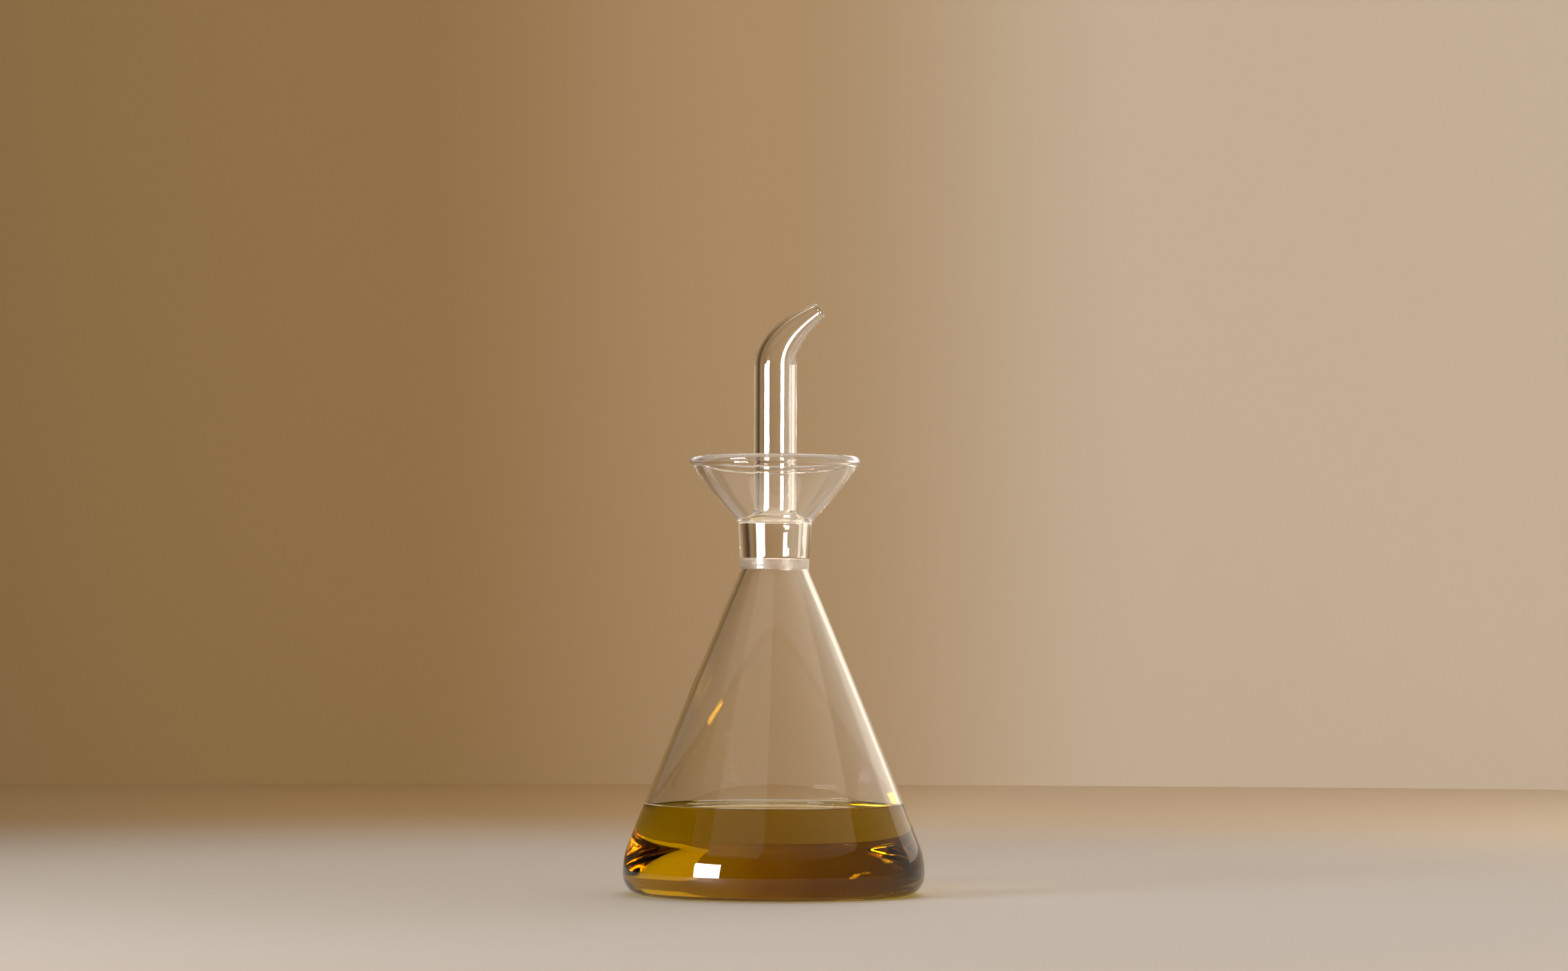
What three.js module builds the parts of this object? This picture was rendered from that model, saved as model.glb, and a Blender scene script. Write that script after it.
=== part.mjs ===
// Conical glass cruet with a funnel collar, a loose glass pourer and a little oil.
//
// Millimetres, +Z up. The origin is the centre of the flat foot, the axis is Z, and the spout
// points along +X.
// Three separate pieces, each one closed solid:
//   flask   blown cone with a ground socket and a drip funnel, fused into one piece of glass
//   pourer  hollow ground plug, straight tube and tapered bent spout, in one piece of glass
//   oil     the filling up to its level, a hair clear of the flask's inner wall
//
// The flask and the oil are profiles turned about the axis. The pourer is a ring of changing
// radius, carried up the outside along its centre line, over the lip and back down the bore.

import * as THREE from 'three';
import { ParametricGeometry } from 'three/addons/geometries/ParametricGeometry.js';

// Facets: sides of the round pieces, and steps along each curve of a profile
const FLASK_SIDES = 64;
const POURER_SIDES = 32;
const CURVE_STEPS = 6;
const SHORT_CURVE_STEPS = 3;
const SPOUT_STEPS = 12;

// Foot and blown body. The cone is slightly bowed between its start and its end.
const FOOT_RADIUS = 47.8;
const HEEL_RADIUS = 8.5;
const CONE_START = new THREE.Vector2(52.3, 24);
const CONE_BOW = new THREE.Vector2(34.6, 69);
const CONE_END = new THREE.Vector2(13.6, 118.6);
const BODY_WALL = 1.8;
const FOOT_WALL = 2.6;

// Neck, a little wider at its top, and the ground socket inside it
const NECK_CREASE = new THREE.Vector2(12.6, 120.9);
const NECK_FOOT = new THREE.Vector2(12.85, 122.4);
const NECK_TOP = new THREE.Vector2(13.9, 138.8);
const SOCKET_FOOT = new THREE.Vector2(10.65, 121);
const SOCKET_TOP = new THREE.Vector2(11.6, 139.6);

// Drip funnel and the round bead on its rim
const FUNNEL_BOW = new THREE.Vector2(26.8, 152.8);
const FUNNEL_WALL = 2.2;
const BEAD_CENTRE = new THREE.Vector2(30.1, 161.4);
const BEAD_RADIUS = 1.8;
const BEAD_FROM = THREE.MathUtils.degToRad(-77);
const BEAD_TO = THREE.MathUtils.degToRad(185);

// Oil
const OIL_LEVEL = 32.3;
const OIL_CLEARANCE = 0.3;

// Pourer: plug in the socket, straight tube, and a spout that bends over and narrows
const PLUG_CLEARANCE = 0.3;
const PLUG_FOOT_HEIGHT = 124.9;
const PLUG_WALL = 2;
const PLUG_BORE_TOP_HEIGHT = 137.2;
const SHOULDER_HEIGHT = 139.3;
const SHOULDER_BEND_HEIGHT = 141.2;
const SHOULDER_BEND_RADIUS = 9.4;
const TUBE_START_HEIGHT = 143.6;
const TUBE_RADIUS = 8;
const TUBE_WALL = 2;
const BEND_START_HEIGHT = 197.5;
const BEND_CORNER_HEIGHT = 207.5;
const SPOUT_REACH = 16.8;
const SPOUT_HEIGHT = 217.6;
const MOUTH_RADIUS = 3.2;
const MOUTH_WALL = 1;
const LIP_LENGTH = 0.45;
const TAPER_POWER = 1.6;

const blownGlass = new THREE.MeshStandardMaterial({ color: 0xe4ece4, roughness: 0.04, metalness: 0 });
const drawnGlass = new THREE.MeshStandardMaterial({ color: 0xd9e4e2, roughness: 0.06, metalness: 0 });
const oliveOil = new THREE.MeshStandardMaterial({ color: 0xa87e00, roughness: 0.05, metalness: 0 });

/** Where the line through two profile points passes a height. */
function onLine(from, to, height) {
  const share = (height - from.y) / (to.y - from.y);
  return new THREE.Vector2(THREE.MathUtils.lerp(from.x, to.x, share), height);
}

/** Where the line through two profile points passes a radius. */
function atRadius(from, to, radius) {
  const share = (radius - from.x) / (to.x - from.x);
  return new THREE.Vector2(radius, THREE.MathUtils.lerp(from.y, to.y, share));
}

/** The cone's three defining points, moved inward by an inset square to the cone. */
function conePoints(inset) {
  const run = CONE_END.clone().sub(CONE_START).normalize();
  const inward = new THREE.Vector2(-run.y, run.x).multiplyScalar(inset);
  return [CONE_START, CONE_BOW, CONE_END].map((entry) => entry.clone().add(inward));
}

/** Quarter round from the foot up to the belly, then the belly's curve into the cone's start. */
function lowerWall(inset, floor) {
  const [start, bow] = conePoints(inset);
  const reach = HEEL_RADIUS - inset;
  const belly = new THREE.Vector2(FOOT_RADIUS + reach, HEEL_RADIUS);
  const heel = new THREE.EllipseCurve(
    FOOT_RADIUS, HEEL_RADIUS, reach, HEEL_RADIUS - floor, -Math.PI / 2, 0,
  );
  const swell = new THREE.QuadraticBezierCurve(belly, atRadius(start, bow, belly.x), start);
  return [...heel.getPoints(CURVE_STEPS), ...swell.getPoints(SHORT_CURVE_STEPS)];
}

/** The bowed cone, from the belly to the neck. */
function coneWall(inset) {
  return new THREE.QuadraticBezierCurve(...conePoints(inset)).getPoints(CURVE_STEPS);
}

/** The neck's outside, with the soft crease where the cone runs into it. */
function neckWall() {
  const root = new THREE.QuadraticBezierCurve(CONE_END, NECK_CREASE, NECK_FOOT);
  return [...root.getPoints(SHORT_CURVE_STEPS), NECK_TOP];
}

/** The funnel from the neck up its outside, round the bead and down its inside to the socket. */
function funnelWall() {
  const onBead = (angle) => new THREE.Vector2(Math.cos(angle), Math.sin(angle))
    .multiplyScalar(BEAD_RADIUS).add(BEAD_CENTRE);
  const slant = FUNNEL_BOW.clone().sub(NECK_TOP).normalize();
  const inward = new THREE.Vector2(-slant.y, slant.x).multiplyScalar(FUNNEL_WALL);
  const throat = onLine(NECK_TOP, FUNNEL_BOW, SOCKET_TOP.y).add(inward);
  const outside = new THREE.QuadraticBezierCurve(NECK_TOP, FUNNEL_BOW, onBead(BEAD_FROM));
  const bead = new THREE.EllipseCurve(
    BEAD_CENTRE.x, BEAD_CENTRE.y, BEAD_RADIUS, BEAD_RADIUS, BEAD_FROM, BEAD_TO,
  );
  const inside = new THREE.QuadraticBezierCurve(
    onBead(BEAD_TO), FUNNEL_BOW.clone().add(inward), throat,
  );
  return [
    ...outside.getPoints(CURVE_STEPS),
    ...bead.getPoints(CURVE_STEPS + 2),
    ...inside.getPoints(CURVE_STEPS),
  ];
}

/** A profile of radius and height, turned about Z into a closed solid. */
function turned(profile) {
  const repeats = (entry, index) => index > 0 && entry.distanceTo(profile[index - 1]) < 1e-3;
  const clean = profile.filter((entry, index) => !repeats(entry, index));
  return new THREE.LatheGeometry(clean, FLASK_SIDES).rotateX(Math.PI / 2);
}

function flaskGeometry() {
  return turned([
    new THREE.Vector2(0, 0),
    ...lowerWall(0, 0),
    ...coneWall(0),
    ...neckWall(),
    ...funnelWall(),
    SOCKET_TOP,
    SOCKET_FOOT,
    ...coneWall(BODY_WALL).reverse(),
    ...lowerWall(BODY_WALL, FOOT_WALL).reverse(),
    new THREE.Vector2(0, FOOT_WALL),
  ]);
}

function oilGeometry() {
  const inset = BODY_WALL + OIL_CLEARANCE;
  const floor = FOOT_WALL + OIL_CLEARANCE;
  const [start, bow] = conePoints(inset);
  return turned([
    new THREE.Vector2(0, floor),
    ...lowerWall(inset, floor),
    onLine(start, bow, OIL_LEVEL),
    new THREE.Vector2(0, OIL_LEVEL),
  ]);
}

/** Radius of the plug's ground outside at a height: the socket's, less the running gap. */
function plugRadius(height) {
  return onLine(SOCKET_FOOT, SOCKET_TOP, height).x - PLUG_CLEARANCE;
}

/** The spout's centre line in its own upright plane, from 0 at the bend's start to 1 at the lip. */
const spoutLine = new THREE.QuadraticBezierCurve(
  new THREE.Vector2(0, BEND_START_HEIGHT),
  new THREE.Vector2(0, BEND_CORNER_HEIGHT),
  new THREE.Vector2(SPOUT_REACH, SPOUT_HEIGHT),
);

/** A ring on the straight part of the pourer: its centre, its way up and its radius. */
function straightRing(height, radius) {
  return { centre: new THREE.Vector2(0, height), along: new THREE.Vector2(0, 1), radius };
}

/** A ring on the spout. The radius narrows slowly at first, then faster towards the mouth. */
function spoutRing(share, wallTaken, beyond = 0) {
  const wall = THREE.MathUtils.lerp(TUBE_WALL, MOUTH_WALL, share) * wallTaken;
  const outside = THREE.MathUtils.lerp(TUBE_RADIUS, MOUTH_RADIUS, share ** TAPER_POWER);
  const along = spoutLine.getTangent(share);
  const centre = spoutLine.getPoint(share).addScaledVector(along, beyond);
  return { centre, along, radius: outside - wall };
}

/** Rings up the outside, over the lip and down the bore, back to the first ring. */
function pourerRings() {
  const shares = Array.from({ length: SPOUT_STEPS + 1 }, (_, step) => step / SPOUT_STEPS);
  const plugFoot = straightRing(PLUG_FOOT_HEIGHT, plugRadius(PLUG_FOOT_HEIGHT));
  return [
    plugFoot,
    straightRing(SHOULDER_HEIGHT, plugRadius(SHOULDER_HEIGHT)),
    straightRing(SHOULDER_BEND_HEIGHT, SHOULDER_BEND_RADIUS),
    straightRing(TUBE_START_HEIGHT, TUBE_RADIUS),
    ...shares.map((share) => spoutRing(share, 0)),
    spoutRing(1, 0.5, LIP_LENGTH),
    ...shares.map((share) => spoutRing(share, 1)).reverse(),
    straightRing(TUBE_START_HEIGHT, TUBE_RADIUS - TUBE_WALL),
    straightRing(PLUG_BORE_TOP_HEIGHT, plugRadius(PLUG_BORE_TOP_HEIGHT) - PLUG_WALL),
    straightRing(PLUG_FOOT_HEIGHT, plugRadius(PLUG_FOOT_HEIGHT) - PLUG_WALL),
    plugFoot,
  ];
}

function pourerGeometry() {
  const rings = pourerRings();
  const last = rings.length - 1;
  const surface = (around, along, target) => {
    const ring = rings[Math.round(along * last)];
    const angle = around * 2 * Math.PI;
    const forward = Math.cos(angle) * ring.radius;
    target.set(
      ring.centre.x + ring.along.y * forward,
      Math.sin(angle) * ring.radius,
      ring.centre.y - ring.along.x * forward,
    );
  };
  return new ParametricGeometry(surface, POURER_SIDES, last);
}

/** One named piece of the cruet. */
function piece(name, geometry, material) {
  const mesh = new THREE.Mesh(geometry, material);
  mesh.name = name;
  return mesh;
}

const cruet = new THREE.Group();
cruet.add(
  piece('flask', flaskGeometry(), blownGlass),
  piece('pourer', pourerGeometry(), drawnGlass),
  piece('oil', oilGeometry(), oliveOil),
);

export default cruet;
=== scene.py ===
"""Looks of the glass oil cruet: clear blown flask, drawn glass pourer and golden oil."""

import math

import bpy
import numpy as np
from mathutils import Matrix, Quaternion, Vector


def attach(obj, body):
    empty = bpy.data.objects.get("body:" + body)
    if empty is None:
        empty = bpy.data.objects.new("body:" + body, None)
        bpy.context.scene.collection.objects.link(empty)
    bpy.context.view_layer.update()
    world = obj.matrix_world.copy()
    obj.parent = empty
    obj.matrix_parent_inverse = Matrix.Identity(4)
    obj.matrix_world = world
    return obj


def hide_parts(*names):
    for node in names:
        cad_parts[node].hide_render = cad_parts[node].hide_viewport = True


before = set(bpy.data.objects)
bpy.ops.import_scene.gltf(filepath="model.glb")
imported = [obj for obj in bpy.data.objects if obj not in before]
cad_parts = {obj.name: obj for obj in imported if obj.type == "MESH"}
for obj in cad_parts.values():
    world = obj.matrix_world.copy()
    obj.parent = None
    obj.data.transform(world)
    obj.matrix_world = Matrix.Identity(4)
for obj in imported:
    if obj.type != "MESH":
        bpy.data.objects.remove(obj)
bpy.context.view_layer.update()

MM = 0.001

# The photograph's frame is 2442 by 1512 pixels. How its camera stood, in metres and pixels of that frame:
IMAGE_WIDTH = 2442
SENSOR_MM = 36.0
FOCAL_PIXELS = 6500.0
CAMERA_DISTANCE = 1.56
CAMERA_HEIGHT = 0.09
CAMERA_PITCH = math.radians(2.295)
CAMERA_ROLL = math.radians(0.2)
AXIS_PIXEL_X = 1207.2
VIEW_TURN = math.radians(16.0)

# The camera's own right and the way from the cruet to the camera, both level
RIGHT = np.array([math.cos(VIEW_TURN), math.sin(VIEW_TURN), 0.0])
TOWARD = np.array([math.sin(VIEW_TURN), -math.cos(VIEW_TURN), 0.0])
UP = np.array([0.0, 0.0, 1.0])

# Driving sizes of the flask, in millimetres. A pair is a radius and a height. The throat lies that far
# up the funnel's slant, and the bead is the part of a circle between two angles.
BELLY_RADIUS = 56.3
HEEL_REACH = 7.5
HEEL_HEIGHT = 8.0
CONE_START = np.array([54.27, 19.0])
CONE_BOW = np.array([34.6, 69.0])
CONE_END = np.array([13.6, 118.6])
BODY_WALL = 1.8
FOOT_WALL = 1.9
PUSH_UP = 2.2
NECK_CREASE = np.array([12.6, 120.9])
NECK_FOOT = np.array([12.85, 122.4])
NECK_TOP = np.array([13.9, 138.8])
SOCKET_FOOT = np.array([10.65, 121.0])
SOCKET_TOP = np.array([11.6, 139.6])
FUNNEL_BOW = np.array([26.8, 152.8])
FUNNEL_WALL = 2.2
THROAT_ALONG = 1.09
BEAD_CENTRE = np.array([30.1, 161.4])
BEAD_RADIUS = 1.8
BEAD_FROM = math.radians(-72.0)
BEAD_TO = math.radians(165.0)

# The oil creeps up the wall by the meniscus rise, which falls off over the meniscus fall
OIL_LEVEL = 32.3
OIL_INTO_WALL = 0.1
MENISCUS_RISE = 0.9
MENISCUS_FALL = 1.1
MENISCUS_WIDTH = 5.5

# Pourer: plug, shoulder, straight tube, bend and mouth. A pull is how far a curve runs straight up.
PLUG_GAP = 0.06
PLUG_FOOT_HEIGHT = 124.9
PLUG_FOOT_ROUND = 0.5
PLUG_WALL = 1.3
PLUG_BORE_TOP_HEIGHT = 138.6
SEAM_HEIGHT = 139.6
SHOULDER_PULL = 2.1
BORE_SHOULDER_PULL = 2.7
BORE_SHOULDER_RISE = 0.8
TUBE_START_HEIGHT = 143.4
TUBE_RADIUS = 8.0
TUBE_WALL = 2.0
BEND_START_HEIGHT = 197.5
BEND_CORNER_HEIGHT = 207.5
SPOUT_REACH = 16.8
SPOUT_HEIGHT = 217.6
MOUTH_RADIUS = 3.2
MOUTH_WALL = 1.0
TAPER_POWER = 1.6

# Finish of each stretch of surface. On glass it is the number of its material on the piece.
FIRE_POLISHED = 0
WETTED = 1
JOINED = 2
GROUND = 3
JOINED_PLUG = 1
FREE_SURFACE = 1

# Sides of the round pieces, spacing on straight runs, and points along each curve
FLASK_SIDES = 240
POURER_SIDES = 128
POINT_SPACING = 0.8
FOOT_POINTS = 16
HEEL_POINTS = 32
BELLY_POINTS = 20
CONE_POINTS = 60
ROOT_POINTS = 12
FUNNEL_POINTS = 32
BEAD_POINTS = 30
MENISCUS_POINTS = 24
OIL_TOP_POINTS = 12
PLUG_RIM_POINTS = 12
SHOULDER_POINTS = 28
SPOUT_POINTS = 90
LIP_POINTS = 14

# Bending of light, and how much a face mirrors: two faces that touch with no gap do neither
GLASS_IOR = 1.47
OIL_IOR = 1.47
MATCHED_IOR = 1.0
NO_MIRROR = 0.0

# How often light is followed from surface to surface, and the brightest value that a bounce may bring
LIGHT_BOUNCES = 48
BRIGHTEST_BOUNCE = 40.0

# How deep the ground glass's grain is and how wide. Real grit leaves grains finer than 0.1 mm, which the
# picture can't show, so they are drawn coarser.
GRAIN_DEPTH_MM = 0.1
GRAIN_MM = 0.22

# Oil: each metre takes out light by 1 minus this colour, times the density, as an exponent
OIL_KEEPS = (0.90, 0.84, 0.0, 1.0)
OIL_DENSITY = 100.0

# The glass has almost no colour. The oil's colour comes from its volume, so that its surface is white.
GLASS_COLOUR = "#fdfcfa"
OIL_COLOUR = "#ffffff"

# Tint of the light that passes as shadow rays
GLASS_SHADOW = "#ede9e2"
OIL_SHADOW = (0.34, 0.31, 0.24, 1.0)

# Stage in metres. Its colours stand at places from the left, -1, to the right, 1: the plain tone of wall and
# floor with painted shade, darker on the left and lighter on the right. A front is the share of its colour
# that is left in front of the cruet, as painted shade. The fade goes by the cosine to the straight way
# forward.
STAGE_SIDES = 128
WALL_RADIUS = 2.6
WALL_BEHIND = 1.3
WALL_HEIGHT = 1.6
# Painted shade on the tan wall: dark brown on the left, pale on the right
WALL_TONE_AND_PAINTED_SHADE = (
    (-1.0, "#43331d"), (-0.2, "#a08352"), (0.0, "#bea37c"), (0.2, "#dccfb9"), (1.0, "#eee8de"),
)
# Painted shade: in front of the cruet the wall keeps only this share of its colour
WALL_FRONT_PAINTED_SHADE = 0.5
# Pale floor with a slight painted shade, darker on the left
FLOOR_TONE_AND_PAINTED_SHADE = ((-1.0, "#a4a09b"), (1.0, "#b0aeae"))
# With the distance the floor turns tan like the wall and darker, as painted shade, dark on the left and light
# on the right
FAR_FLOOR_TONE_AND_PAINTED_SHADE = (
    (-1.0, "#5e4c34"), (-0.22, "#987f58"), (0.0, "#aa916b"), (0.14, "#bcaa92"), (1.0, "#d4c8b4"),
)
FLOOR_FRONT_PAINTED_SHADE = 1.0
FRONT_FADE_START = -0.6
FRONT_FADE_END = 0.5
WALL_ROUGHNESS = 0.8
FLOOR_ROUGHNESS = 0.6
NEAR_FLOOR_REACH = 0.28
FAR_FLOOR_REACH = 0.85

# Surrounding light: dim in front of the cruet, and brightest above, behind and a little to the right
SURROUND_COLOUR = "#ffecd4"
SURROUND_BRIGHTEST = RIGHT * 0.35 - TOWARD * 0.50 + UP * 0.80
SURROUND_DIM = 0.12
SURROUND_DIM_BELOW = -0.2
SURROUND_BRIGHT = 1.15

# Lamps: turn from straight in front towards the right and angle above level, both in degrees, distance,
# width and height in metres, radiance, colour, and whether it lights the stage as well as the cruet
LAMP_AIM_HEIGHT = 0.06
LAMPS = (
    ("low left light", -51, 4.8, 1.0, 0.38, 0.29, 48.0, "#f8f9ff", True),
    ("high left light", -34, 40, 1.6, 1.15, 0.8, 0.42, "#fff4e8", True),
    ("back right light", 145, 16, 1.3, 0.9, 0.6, 0.7, "#fff2e4", False),
    ("overhead light", 180, 72, 1.9, 1.6, 1.6, 1.9, "#fff4e8", True),
)


def linear(hex_colour):
    """An sRGB hex colour as linear red, green and blue by the standard curve, and a full alpha."""
    parts = [int(hex_colour[i:i + 2], 16) / 255 for i in (1, 3, 5)]
    return tuple(p / 12.92 if p <= 0.04045 else ((p + 0.055) / 1.055) ** 2.4 for p in parts) + (1.0,)


def line(start, end):
    """Straight run of points from start to end, about one point spacing apart."""
    count = max(2, int(np.hypot(*(end - start)) / POINT_SPACING) + 1)
    share = np.linspace(0.0, 1.0, count)[:, None]
    return start + (end - start) * share


def bow(start, pull, end, count):
    """Quadratic curve that leaves start towards pull and arrives at end from pull."""
    t = np.linspace(0.0, 1.0, count)[:, None]
    return (1 - t) ** 2 * start + 2 * t * (1 - t) * pull + t ** 2 * end


def shoulder_curve(start, end, pull):
    """S-shaped cubic curve that leaves start straight up and arrives at end straight up."""
    t = np.linspace(0.0, 1.0, SHOULDER_POINTS)[:, None]
    up = np.array([0.0, pull])
    return ((1 - t) ** 3 * start + 3 * t * (1 - t) ** 2 * (start + up)
            + 3 * t ** 2 * (1 - t) * (end - up) + t ** 3 * end)


def arc(centre, reach, first, last, count):
    """Part of an ellipse: centre plus reach across and up, times the cosine and sine of the angle."""
    angle = np.linspace(first, last, count)
    return centre + np.stack([np.cos(angle) * reach[0], np.sin(angle) * reach[1]], axis=1)


def joined(*runs):
    """Joins runs of points into one line and drops points that repeat."""
    points = np.concatenate(runs)
    step = np.hypot(*np.diff(points, axis=0).T)
    return points[np.concatenate([[True], step > 1e-4])]


def profile_of(*runs):
    """Joins pairs of points and finish into one profile. Each step has the finish of the point it reaches."""
    points = np.concatenate([run for run, _ in runs])
    finish = np.concatenate([np.full(len(run), number) for run, number in runs])
    keep = np.concatenate([[True], np.hypot(*np.diff(points, axis=0).T) > 1e-4])
    return points[keep], finish[keep]


def cone_points(inset):
    """The cone's three defining points, moved inward square to the cone."""
    run = (CONE_END - CONE_START) / np.hypot(*(CONE_END - CONE_START))
    inward = np.array([-run[1], run[0]]) * inset
    return CONE_START + inward, CONE_BOW + inward, CONE_END + inward


def lower_wall(inset, floor):
    """Quarter round from the foot up to the belly, then the belly's curve into the cone."""
    start, pull, _ = cone_points(inset)
    belly = np.array([BELLY_RADIUS - inset, HEEL_HEIGHT])
    rise = start[1] + (belly[0] - start[0]) * (pull[1] - start[1]) / (pull[0] - start[0])
    centre = np.array([BELLY_RADIUS - HEEL_REACH, HEEL_HEIGHT])
    heel = arc(centre, (HEEL_REACH - inset, HEEL_HEIGHT - floor), -math.pi / 2, 0.0, HEEL_POINTS)
    return joined(heel, bow(belly, np.array([belly[0], rise]), start, BELLY_POINTS))


def push_up(floor):
    """The foot from the axis outward, raised in the middle by a bump that ends level at the heel.

    The bump is the push-up times the square of one minus the squared share of the way out.
    """
    share = np.linspace(0.0, 1.0, FOOT_POINTS)
    radius = share * (BELLY_RADIUS - HEEL_REACH)
    return np.stack([radius, floor + PUSH_UP * (1 - share ** 2) ** 2], axis=1)


def cone_wall(inset):
    """The bowed cone from the belly to the neck."""
    return bow(*cone_points(inset), CONE_POINTS)


def socket_point(height):
    """Where the ground socket's wall is at a height."""
    share = (height - SOCKET_FOOT[1]) / (SOCKET_TOP[1] - SOCKET_FOOT[1])
    return SOCKET_FOOT + (SOCKET_TOP - SOCKET_FOOT) * share


def funnel_walls():
    """The funnel's outside, its bead, and its inside down to the socket's throat."""
    def on_bead(angle):
        """The point of the bead's circle at an angle from level outward."""
        return BEAD_CENTRE + BEAD_RADIUS * np.array([math.cos(angle), math.sin(angle)])
    slant = (FUNNEL_BOW - NECK_TOP) / np.hypot(*(FUNNEL_BOW - NECK_TOP))
    inward = np.array([-slant[1], slant[0]]) * FUNNEL_WALL
    throat = NECK_TOP + slant * THROAT_ALONG + inward
    outside = bow(NECK_TOP, FUNNEL_BOW, on_bead(BEAD_FROM), FUNNEL_POINTS)
    bead = arc(BEAD_CENTRE, (BEAD_RADIUS, BEAD_RADIUS), BEAD_FROM, BEAD_TO, BEAD_POINTS)
    seam = socket_point(SEAM_HEIGHT)
    slope = bow(on_bead(BEAD_TO), FUNNEL_BOW + inward, throat, FUNNEL_POINTS)
    inside = joined(slope, line(throat, seam))
    return outside, bead, inside


def flask_profile():
    """Foot, heel, cone, neck and funnel on the outside, then back down the inside to the axis."""
    outside, bead, inside = funnel_walls()
    root = bow(CONE_END, NECK_CREASE, NECK_FOOT, ROOT_POINTS)
    inner_cone = cone_wall(BODY_WALL)[::-1]
    seam, plug_foot = socket_point(SEAM_HEIGHT), socket_point(PLUG_FOOT_HEIGHT)
    shore = OIL_LEVEL + MENISCUS_RISE
    floor = lower_wall(BODY_WALL, FOOT_WALL)[::-1]
    return profile_of(
        (push_up(0.0), FIRE_POLISHED), (lower_wall(0.0, 0.0), FIRE_POLISHED),
        (cone_wall(0.0), FIRE_POLISHED), (root, FIRE_POLISHED), (line(NECK_FOOT, NECK_TOP), FIRE_POLISHED),
        (outside, FIRE_POLISHED), (bead, FIRE_POLISHED), (inside, FIRE_POLISHED),
        (line(seam, plug_foot), JOINED),
        (line(plug_foot, SOCKET_FOOT), GROUND), (inner_cone[inner_cone[:, 1] > shore], FIRE_POLISHED),
        (inner_cone[inner_cone[:, 1] <= shore], WETTED), (floor, WETTED),
        (push_up(FOOT_WALL)[::-1], WETTED),
    )


def oil_profile():
    """The oil's underside and side, reaching a little into the wall, and its level top.

    At the rim the top creeps up by the meniscus rise times an exponential of the distance inward.
    """
    inset = BODY_WALL - OIL_INTO_WALL
    start, pull, _ = cone_points(inset)
    top = OIL_LEVEL + MENISCUS_RISE
    shore = start + (pull - start) * (top - start[1]) / (pull[1] - start[1])
    away = np.linspace(0.0, MENISCUS_WIDTH, MENISCUS_POINTS)
    creep = MENISCUS_RISE * np.exp(-away / MENISCUS_FALL)
    rim = np.stack([shore[0] - OIL_INTO_WALL - away, OIL_LEVEL + creep], axis=1)
    inward = np.linspace(rim[-1, 0], 0.0, OIL_TOP_POINTS)
    flat = np.stack([inward, np.full(OIL_TOP_POINTS, OIL_LEVEL)], axis=1)
    floor = FOOT_WALL - OIL_INTO_WALL
    return profile_of(
        (push_up(floor), 0), (lower_wall(inset, floor), 0), (line(start, shore), 0),
        (rim, FREE_SURFACE), (flat, FREE_SURFACE),
    )


def mesh_object(name, points, faces, finish=None, smooth=True):
    """A new object with its place in its mesh, from points in metres, faces and each face's finish."""
    mesh = bpy.data.meshes.new(name)
    mesh.from_pydata(points.tolist(), [], faces)
    mesh.update()
    mesh.polygons.foreach_set("use_smooth", np.full(len(mesh.polygons), smooth))
    if finish is not None:
        mesh.polygons.foreach_set("material_index", finish.astype(np.int32))
    piece = bpy.data.objects.new(name, mesh)
    bpy.context.scene.collection.objects.link(piece)
    return piece


def grid_faces(rows, sides):
    """Four-cornered faces of a grid that is closed sideways, as rows of four corner numbers."""
    row, side = np.meshgrid(np.arange(rows - 1), np.arange(sides), indexing="ij")
    here, there = row * sides + side, row * sides + (side + 1) % sides
    return np.stack([here, there, there + sides, here + sides], axis=-1).reshape(-1, 4)


def turned(name, profile, finish, sides):
    """A profile that starts and ends on the axis, turned about Z: rings in between, a point at each end.

    A ring is its radius times the cosine and sine of the angle, at its height. The faces between two
    rings have the finish of the later one.
    """
    rings = profile[1:-1] * MM
    angle = np.linspace(0.0, 2 * math.pi, sides, endpoint=False)
    x = rings[:, :1] * np.cos(angle)
    y = rings[:, :1] * np.sin(angle)
    z = np.repeat(rings[:, 1:], sides, axis=1)
    points = np.stack([x, y, z], axis=-1).reshape(-1, 3)
    first, last = len(points), len(points) + 1
    poles = np.array([[0.0, 0.0, profile[0, 1] * MM], [0.0, 0.0, profile[-1, 1] * MM]])
    around = np.arange(sides)
    beyond = (around + 1) % sides
    top = (len(rings) - 1) * sides
    fan = np.stack([np.full(sides, first), beyond, around], axis=1)
    cap = np.stack([np.full(sides, last), top + around, top + beyond], axis=1)
    faces = grid_faces(len(rings), sides).tolist() + fan.tolist() + cap.tolist()
    numbers = np.concatenate([np.repeat(finish[2:-1], sides), np.repeat(finish[[1, -1]], sides)])
    return mesh_object(name, np.concatenate([points, poles]), faces, numbers)


def mark_free_surface(piece):
    """Turns each face's finish number into an attribute, and puts all faces on the one oil material."""
    count = len(piece.data.polygons)
    number = np.zeros(count, dtype=np.int32)
    piece.data.polygons.foreach_get("material_index", number)
    free = piece.data.attributes.new("free_surface", "FLOAT", "FACE")
    free.data.foreach_set("value", number.astype(np.float32))
    piece.data.polygons.foreach_set("material_index", np.zeros(count, dtype=np.int32))


def upright_rings(run):
    """Rings on the upright axis: centre, direction and radius for each radius and height of a run."""
    centre = np.stack([np.zeros(len(run)), run[:, 1]], axis=1)
    return centre, np.tile([0.0, 1.0], (len(run), 1)), run[:, 0]


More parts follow.
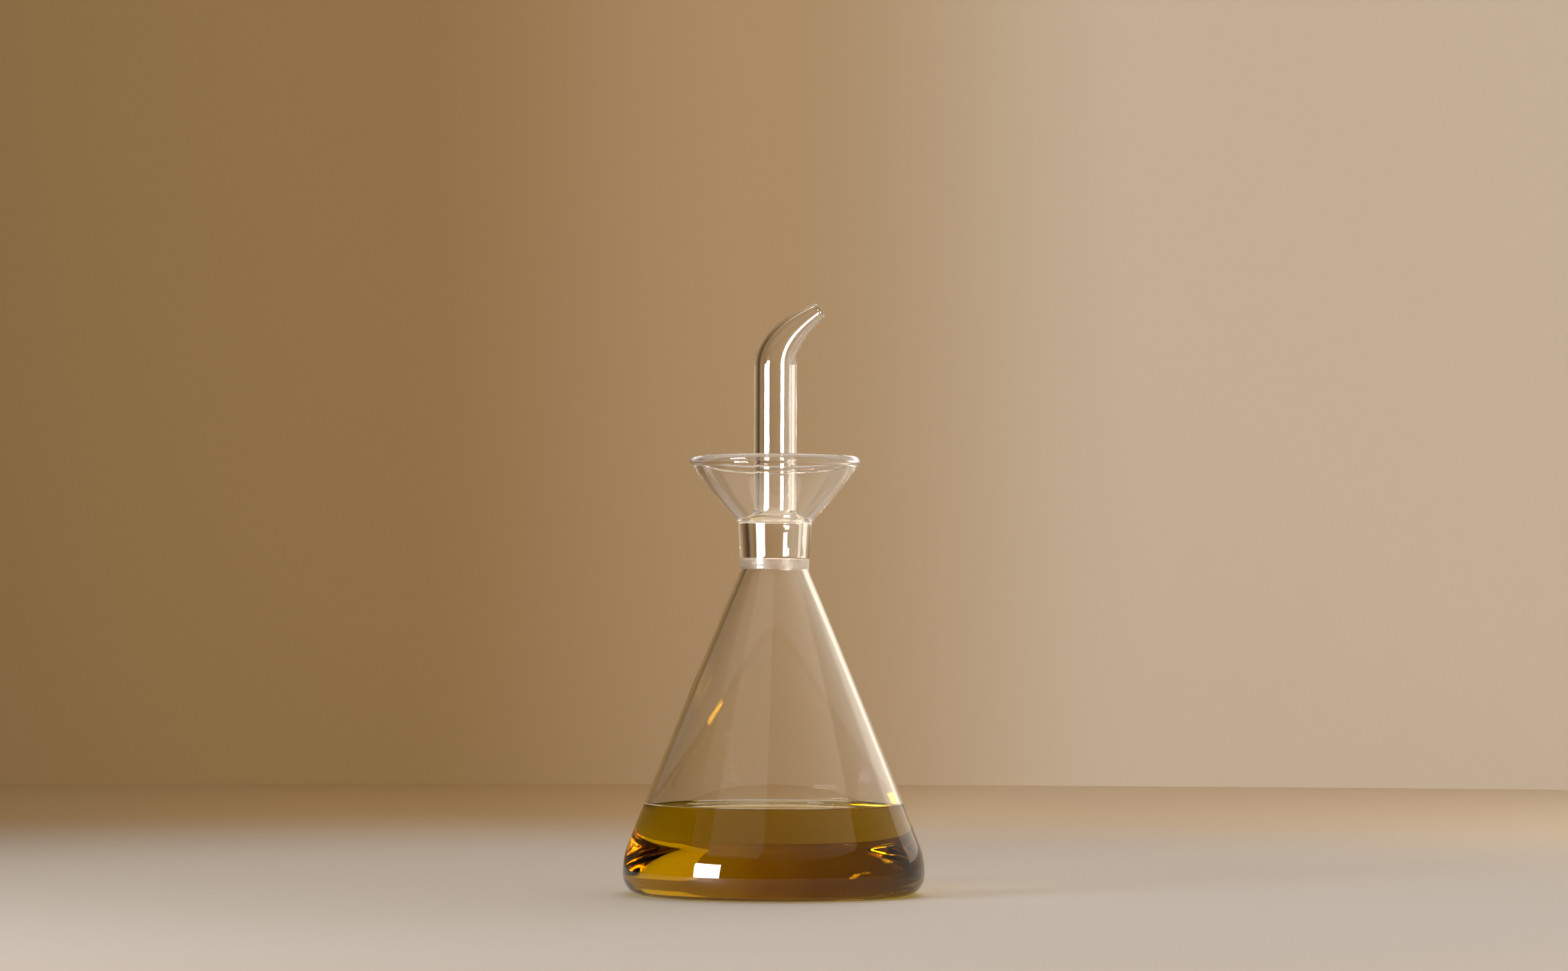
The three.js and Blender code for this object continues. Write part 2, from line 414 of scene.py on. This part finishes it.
def plug_runs():
    """The plug's rounded foot, its ground side, the outside up to the bend, and the bore back down."""
    gap = np.array([PLUG_GAP, 0.0])
    foot = socket_point(PLUG_FOOT_HEIGHT) - gap
    shoulder = socket_point(SEAM_HEIGHT) - gap
    ground = line(foot + (0, PLUG_FOOT_ROUND), shoulder)
    tube = np.array([TUBE_RADIUS, TUBE_START_HEIGHT])
    bend = np.array([TUBE_RADIUS, BEND_START_HEIGHT])
    outside = joined(shoulder_curve(shoulder, tube, SHOULDER_PULL), line(tube, bend))
    bore = TUBE_RADIUS - TUBE_WALL
    bore_top = socket_point(PLUG_BORE_TOP_HEIGHT) - (PLUG_GAP + PLUG_WALL, 0.0)
    bore_tube = np.array([bore, TUBE_START_HEIGHT + BORE_SHOULDER_RISE])
    inside = joined(
        line(np.array([bore, BEND_START_HEIGHT]), bore_tube),
        shoulder_curve(bore_top, bore_tube, BORE_SHOULDER_PULL)[::-1],
        line(bore_top, foot + (-PLUG_WALL, PLUG_FOOT_ROUND)),
    )
    rim_centre = foot + (-PLUG_WALL / 2, PLUG_FOOT_ROUND)
    rim = arc(rim_centre, (PLUG_WALL / 2, PLUG_FOOT_ROUND), -math.pi, 0.0, PLUG_RIM_POINTS)
    return rim, ground, outside, inside


def spout_rings():
    """Rings along a quadratic curve: up the outside, over a half-round lip, and down the inside.

    The outside narrows with the taper power of the way along the curve, and the wall thins evenly.
    """
    share = np.linspace(0.0, 1.0, SPOUT_POINTS)
    start = np.array([0.0, BEND_START_HEIGHT])
    corner = np.array([0.0, BEND_CORNER_HEIGHT])
    end = np.array([SPOUT_REACH, SPOUT_HEIGHT])
    centre = bow(start, corner, end, SPOUT_POINTS)
    heading = 2 * (1 - share)[:, None] * (corner - start) + 2 * share[:, None] * (end - corner)
    heading /= np.hypot(*heading.T)[:, None]
    wide = TUBE_RADIUS + (MOUTH_RADIUS - TUBE_RADIUS) * share ** TAPER_POWER
    narrow = wide - (TUBE_WALL + (MOUTH_WALL - TUBE_WALL) * share)
    lip_angle = np.linspace(-math.pi / 2, math.pi / 2, LIP_POINTS)[1:-1]
    lip_radius = MOUTH_RADIUS - MOUTH_WALL / 2 - np.sin(lip_angle) * MOUTH_WALL / 2
    lip_centre = end + heading[-1] * (np.cos(lip_angle) * MOUTH_WALL / 2)[:, None]
    lip_heading = np.tile(heading[-1], (len(lip_angle), 1))
    return [
        (centre[1:], heading[1:], wide[1:]), (lip_centre, lip_heading, lip_radius),
        (centre[::-1], heading[::-1], narrow[::-1]),
    ]


def pourer_rings():
    """Centre, direction and radius of each ring, and the finish of the stretch that follows it."""
    rim, ground, outside, inside = plug_runs()
    parts = [upright_rings(rim), upright_rings(ground[1:]), upright_rings(outside[1:])]
    parts += spout_rings() + [upright_rings(inside[1:-1])]
    finish = np.zeros(sum(len(radius) for _, _, radius in parts))
    finish[len(rim) - 1:len(rim) + len(ground) - 2] = JOINED_PLUG
    return [np.concatenate(column) for column in zip(*parts)] + [finish]


def pourer_piece(name):
    """Rings square to the centre line in the upright plane of X and Z, closed into one hollow tube.

    A point is its ring's centre, plus the radius times the cosine of the angle in that plane, square to
    the direction, and the radius times its sine along Y.
    """
    centre, heading, radius, finish = pourer_rings()
    angle = np.linspace(0.0, 2 * math.pi, POURER_SIDES, endpoint=False)
    forward = np.cos(angle) * radius[:, None]
    x = centre[:, :1] + heading[:, 1:] * forward
    y = np.sin(angle) * radius[:, None]
    z = centre[:, 1:] - heading[:, :1] * forward
    points = np.stack([x, y, z], axis=-1).reshape(-1, 3) * MM
    rows = len(radius)
    faces = grid_faces(rows + 1, POURER_SIDES) % (rows * POURER_SIDES)
    return mesh_object(name, points, faces.tolist(), np.repeat(finish, POURER_SIDES))


def add(tree, kind, settings=None, links=None):
    """Adds a node, sets its properties and input values, and links outputs into its inputs."""
    made = tree.nodes.new(kind)
    for key, value in (settings or {}).items():
        if isinstance(key, str) and hasattr(made, key):
            setattr(made, key, value)
        else:
            made.inputs[key].default_value = value
    for key, output in (links or {}).items():
        tree.links.new(output, made.inputs[key])
    return made


def new_material(name):
    """A new material with an empty node tree, and that tree."""
    material = bpy.data.materials.new(name)
    material.use_nodes = True
    material.node_tree.nodes.clear()
    return material, material.node_tree


def glass_material(name, roughness=0.0, swell=0.0, swell_mm=14.0, grain=0.0, mirror=1.0,
                   bending=GLASS_IOR):
    """Clear borosilicate glass with a slow swell in its surface and, where it is ground, a fine grain.

    Both are noise over the piece's own coordinates, as bumps. Shadow rays pass straight through with a
    faint tint, so that light reaches the oil and the floor.
    """
    material, tree = new_material(name)
    place = add(tree, "ShaderNodeTexCoord").outputs["Object"]
    waves = add(tree, "ShaderNodeTexNoise", {"Scale": 1 / (swell_mm * MM), "Detail": 1.0}, {"Vector": place})
    normal = add(tree, "ShaderNodeBump", {"Strength": swell, "Distance": 1 * MM},
                 {"Height": waves.outputs["Fac"]}).outputs["Normal"]
    if grain:
        grit = add(tree, "ShaderNodeTexNoise", {"Scale": 1 / (GRAIN_MM * MM), "Detail": 2.0},
                   {"Vector": place})
        normal = add(tree, "ShaderNodeBump", {"Strength": grain, "Distance": GRAIN_DEPTH_MM * MM},
                     {"Height": grit.outputs["Fac"], "Normal": normal}).outputs["Normal"]
    glass = add(tree, "ShaderNodeBsdfPrincipled", {
        "Base Color": linear(GLASS_COLOUR), "Roughness": roughness, "Transmission Weight": 1.0,
        "IOR": bending, "Specular Tint": (mirror, mirror, mirror, 1.0),
    }, {"Normal": normal})
    clear = add(tree, "ShaderNodeBsdfTransparent", {"Color": linear(GLASS_SHADOW)})
    rays = add(tree, "ShaderNodeLightPath")
    mixed = add(tree, "ShaderNodeMixShader", {}, {
        0: rays.outputs["Is Shadow Ray"], 1: glass.outputs[0], 2: clear.outputs[0],
    })
    add(tree, "ShaderNodeOutputMaterial", {}, {"Surface": mixed.outputs[0]})
    return material


def oil_material():
    """Olive oil, pressed and filtered: clear, yellow where it is thin and a deep gold where it is thick.

    Its volume takes out all blue, some red and more green. Its sides lie in the wall and don't bend light,
    and only its free surface does, by the attribute that marks it.
    """
    material, tree = new_material("olive oil, pressed and filtered")
    free = add(tree, "ShaderNodeAttribute", {"attribute_name": "free_surface"})
    bending = add(tree, "ShaderNodeMapRange", {"To Min": MATCHED_IOR, "To Max": OIL_IOR},
                  {"Value": free.outputs["Fac"]})
    oil = add(tree, "ShaderNodeBsdfPrincipled", {
        "Base Color": linear(OIL_COLOUR), "Roughness": 0.0, "Transmission Weight": 1.0,
    }, {"IOR": bending.outputs[0]})
    clear = add(tree, "ShaderNodeBsdfTransparent", {"Color": OIL_SHADOW})
    rays = add(tree, "ShaderNodeLightPath")
    mixed = add(tree, "ShaderNodeMixShader", {}, {
        0: rays.outputs["Is Shadow Ray"], 1: oil.outputs[0], 2: clear.outputs[0],
    })
    body = add(tree, "ShaderNodeVolumeAbsorption", {"Color": OIL_KEEPS, "Density": OIL_DENSITY})
    add(tree, "ShaderNodeOutputMaterial", {}, {"Surface": mixed.outputs[0], "Volume": body.outputs[0]})
    return material


def finish_piece(piece, node, slot, *materials):
    """Gives a piece its materials and its body, and hides the CAD node that it stands in for. The slot is not
    used.
    """
    for material in materials:
        piece.data.materials.append(material)
    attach(piece, "root")
    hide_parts(node)


def side_ramp(tree, share, colours):
    """Colours at places from the picture's left, -1, to its right, 1, which carry the stage's painted shade.
    """
    ramp = add(tree, "ShaderNodeValToRGB", {}, {0: share})
    ramp.color_ramp.interpolation = "EASE"
    while len(ramp.color_ramp.elements) < len(colours):
        ramp.color_ramp.elements.new(0.5)
    for element, (position, colour) in zip(ramp.color_ramp.elements, colours):
        element.position = (position + 1) / 2
        element.color = linear(colour)
    return ramp.outputs[0]


def stage_material(name, roughness, front, colours, far_colours):
    """Matt paint whose colour follows the direction from the cruet, with painted shade in it.

    It runs from a painted dark left to a lighter right, goes over into the far colours with the distance, and
    in front of the cruet it is darkened by painted shade to the share given as front.
    """
    material, tree = new_material(name)
    place = add(tree, "ShaderNodeTexCoord").outputs["Object"]
    level = add(tree, "ShaderNodeVectorMath", {"operation": "MULTIPLY", 1: (1.0, 1.0, 0.0)}, {0: place})
    way = add(tree, "ShaderNodeVectorMath", {"operation": "NORMALIZE"}, {0: level.outputs[0]})
    # Painted shade from left to right: the colour ramps follow the side the way points to
    side = add(tree, "ShaderNodeVectorMath", {"operation": "DOT_PRODUCT", 1: tuple(RIGHT)},
               {0: way.outputs[0]})
    share = add(tree, "ShaderNodeMapRange", {"From Min": -1.0, "From Max": 1.0},
                {"Value": side.outputs["Value"]})
    reach = add(tree, "ShaderNodeVectorMath", {"operation": "LENGTH"}, {0: level.outputs[0]})
    beyond = add(tree, "ShaderNodeMapRange", {
        "interpolation_type": "SMOOTHSTEP", "From Min": NEAR_FLOOR_REACH, "From Max": FAR_FLOOR_REACH,
    }, {"Value": reach.outputs["Value"]})
    ramp = add(tree, "ShaderNodeMix", {"data_type": "RGBA"}, {
        0: beyond.outputs[0], 6: side_ramp(tree, share.outputs[0], colours),
        7: side_ramp(tree, share.outputs[0], far_colours),
    })
    # Painted shade: the stage is darkened in front of the cruet by the front share
    near = add(tree, "ShaderNodeVectorMath", {"operation": "DOT_PRODUCT", 1: tuple(TOWARD)},
               {0: way.outputs[0]})
    shade = add(tree, "ShaderNodeMapRange", {
        "interpolation_type": "SMOOTHSTEP", "From Min": FRONT_FADE_START, "From Max": FRONT_FADE_END,
        "To Min": 1.0, "To Max": front,
    }, {"Value": near.outputs["Value"]})
    tone = add(tree, "ShaderNodeVectorMath", {"operation": "SCALE"},
               {0: ramp.outputs[2], "Scale": shade.outputs[0]})
    paint = add(tree, "ShaderNodeBsdfPrincipled", {"Roughness": roughness},
                {"Base Color": tone.outputs[0]})
    add(tree, "ShaderNodeOutputMaterial", {}, {"Surface": paint.outputs[0]})
    return material


def build_stage():
    """Round pale floor, and a round wall whose nearest point is behind the cruet."""
    angle = np.linspace(0.0, 2 * math.pi, STAGE_SIDES, endpoint=False)
    ring = np.stack([np.cos(angle), np.sin(angle), np.zeros(STAGE_SIDES)], axis=1)
    low = ring * WALL_RADIUS + TOWARD * (WALL_RADIUS - WALL_BEHIND)
    floor = mesh_object("floor", low, [list(range(STAGE_SIDES))], smooth=False)
    floor.data.materials.append(stage_material(
        "pale plaster floor with painted shade", FLOOR_ROUGHNESS, FLOOR_FRONT_PAINTED_SHADE, FLOOR_TONE_AND_PAINTED_SHADE, FAR_FLOOR_TONE_AND_PAINTED_SHADE))
    inward = grid_faces(2, STAGE_SIDES)[:, ::-1]
    wall = mesh_object("backdrop", np.concatenate([low, low + UP * WALL_HEIGHT]), inward.tolist())
    wall.data.materials.append(stage_material(
        "warm tan plaster wall with painted shade", WALL_ROUGHNESS, WALL_FRONT_PAINTED_SHADE, WALL_TONE_AND_PAINTED_SHADE, WALL_TONE_AND_PAINTED_SHADE))


def area_light(name, turn, rise, distance, width, height, radiance, colour, lights_stage):
    """A soft rectangle of light that faces the cruet. Its power is its radiance times its area times pi."""
    turn, rise = math.radians(turn), math.radians(rise)
    data = bpy.data.lights.new(name, "AREA")
    data.shape = "RECTANGLE"
    data.size, data.size_y = width, height
    data.energy = radiance * math.pi * width * height
    data.color = linear(colour)[:3]
    lamp = bpy.data.objects.new(name, data)
    level = TOWARD * math.cos(turn) + RIGHT * math.sin(turn)
    way = Vector(level * math.cos(rise) + UP * math.sin(rise))
    lamp.location = way * distance + Vector((0, 0, LAMP_AIM_HEIGHT))
    lamp.rotation_mode = "QUATERNION"
    lamp.rotation_quaternion = way.to_track_quat("Z", "Y")
    lamp.visible_camera = False
    lamp.visible_diffuse = lights_stage
    bpy.context.scene.collection.objects.link(lamp)


def build_surround():
    """Soft light all round. Its strength follows the dot product of a direction with the brightest one."""
    world = bpy.data.worlds.new("soft studio")
    world.use_nodes = True
    tree = world.node_tree
    background = tree.nodes["Background"]
    background.inputs["Color"].default_value = linear(SURROUND_COLOUR)
    way = add(tree, "ShaderNodeTexCoord").outputs["Generated"]
    share = add(tree, "ShaderNodeVectorMath", {"operation": "DOT_PRODUCT", 1: tuple(SURROUND_BRIGHTEST)},
                {0: way})
    strength = add(tree, "ShaderNodeMapRange", {
        "interpolation_type": "SMOOTHSTEP", "From Min": SURROUND_DIM_BELOW, "From Max": 1.0,
        "To Min": SURROUND_DIM, "To Max": SURROUND_BRIGHT,
    }, {"Value": share.outputs["Value"]})
    tree.links.new(strength.outputs[0], background.inputs["Strength"])
    bpy.context.scene.world = world


def build_camera():
    """The photograph's viewpoint: low, level with the cone, looking a little up."""
    data = bpy.data.cameras.new("camera")
    data.sensor_width = SENSOR_MM
    data.lens = FOCAL_PIXELS / IMAGE_WIDTH * SENSOR_MM
    camera = bpy.data.objects.new("camera", data)
    camera.location = Vector(TOWARD * CAMERA_DISTANCE + UP * CAMERA_HEIGHT)
    sideways = (IMAGE_WIDTH / 2 - AXIS_PIXEL_X) / FOCAL_PIXELS
    aim = -TOWARD * math.cos(CAMERA_PITCH) + UP * math.sin(CAMERA_PITCH) + RIGHT * sideways
    camera.rotation_mode = "QUATERNION"
    camera.rotation_quaternion = Vector(aim).to_track_quat("-Z", "Y") @ Quaternion((0, 0, 1), CAMERA_ROLL)
    bpy.context.scene.collection.objects.link(camera)
    bpy.context.scene.camera = camera


# Blown and smoothed by the flame: bright clean edges, and highlights that waver slowly with the swell
clear_glass = glass_material("borosilicate glass, blown and fire polished", swell=0.02, swell_mm=14.0)

# Under the oil the wall can't be seen, because oil and glass bend light alike
wet_glass = glass_material("borosilicate glass, wetted by oil", mirror=NO_MIRROR, bending=MATCHED_IOR)

# A film of oil fills the ground joint, so that plug and socket look like one clear piece
joint_glass = glass_material("ground glass joint, clear with oil", mirror=NO_MIRROR, bending=MATCHED_IOR)

# The bare end of the socket, roughened by grit: a pale matt ring that blurs what is behind it
ground_glass = glass_material("borosilicate glass, ground with grit", roughness=0.18, grain=1.0)

# Drawn and bent in the flame: long straight highlights with a slight waver along the tube
tube_glass = glass_material("borosilicate glass, drawn tube", swell=0.03, swell_mm=8.0)

# The three pieces, each in place of its solid
flask = turned("flask_glass", *flask_profile(), FLASK_SIDES)
finish_piece(flask, "flask", "blown_glass", clear_glass, wet_glass, joint_glass, ground_glass)
pourer = pourer_piece("pourer_glass")
finish_piece(pourer, "pourer", "drawn_glass", tube_glass, joint_glass)
oil = turned("oil_fill", *oil_profile(), FLASK_SIDES)
mark_free_surface(oil)
finish_piece(oil, "oil", "olive_oil", oil_material())

build_stage()
for lamp_settings in LAMPS:
    area_light(*lamp_settings)
build_surround()
build_camera()

# Light runs round inside the glass many times, and each total reflection counts as a glossy bounce
scene = bpy.context.scene
scene.view_settings.view_transform = "Standard"
scene.cycles.max_bounces = LIGHT_BOUNCES
scene.cycles.transmission_bounces = LIGHT_BOUNCES
scene.cycles.glossy_bounces = LIGHT_BOUNCES
scene.cycles.transparent_max_bounces = LIGHT_BOUNCES
scene.cycles.sample_clamp_indirect = BRIGHTEST_BOUNCE
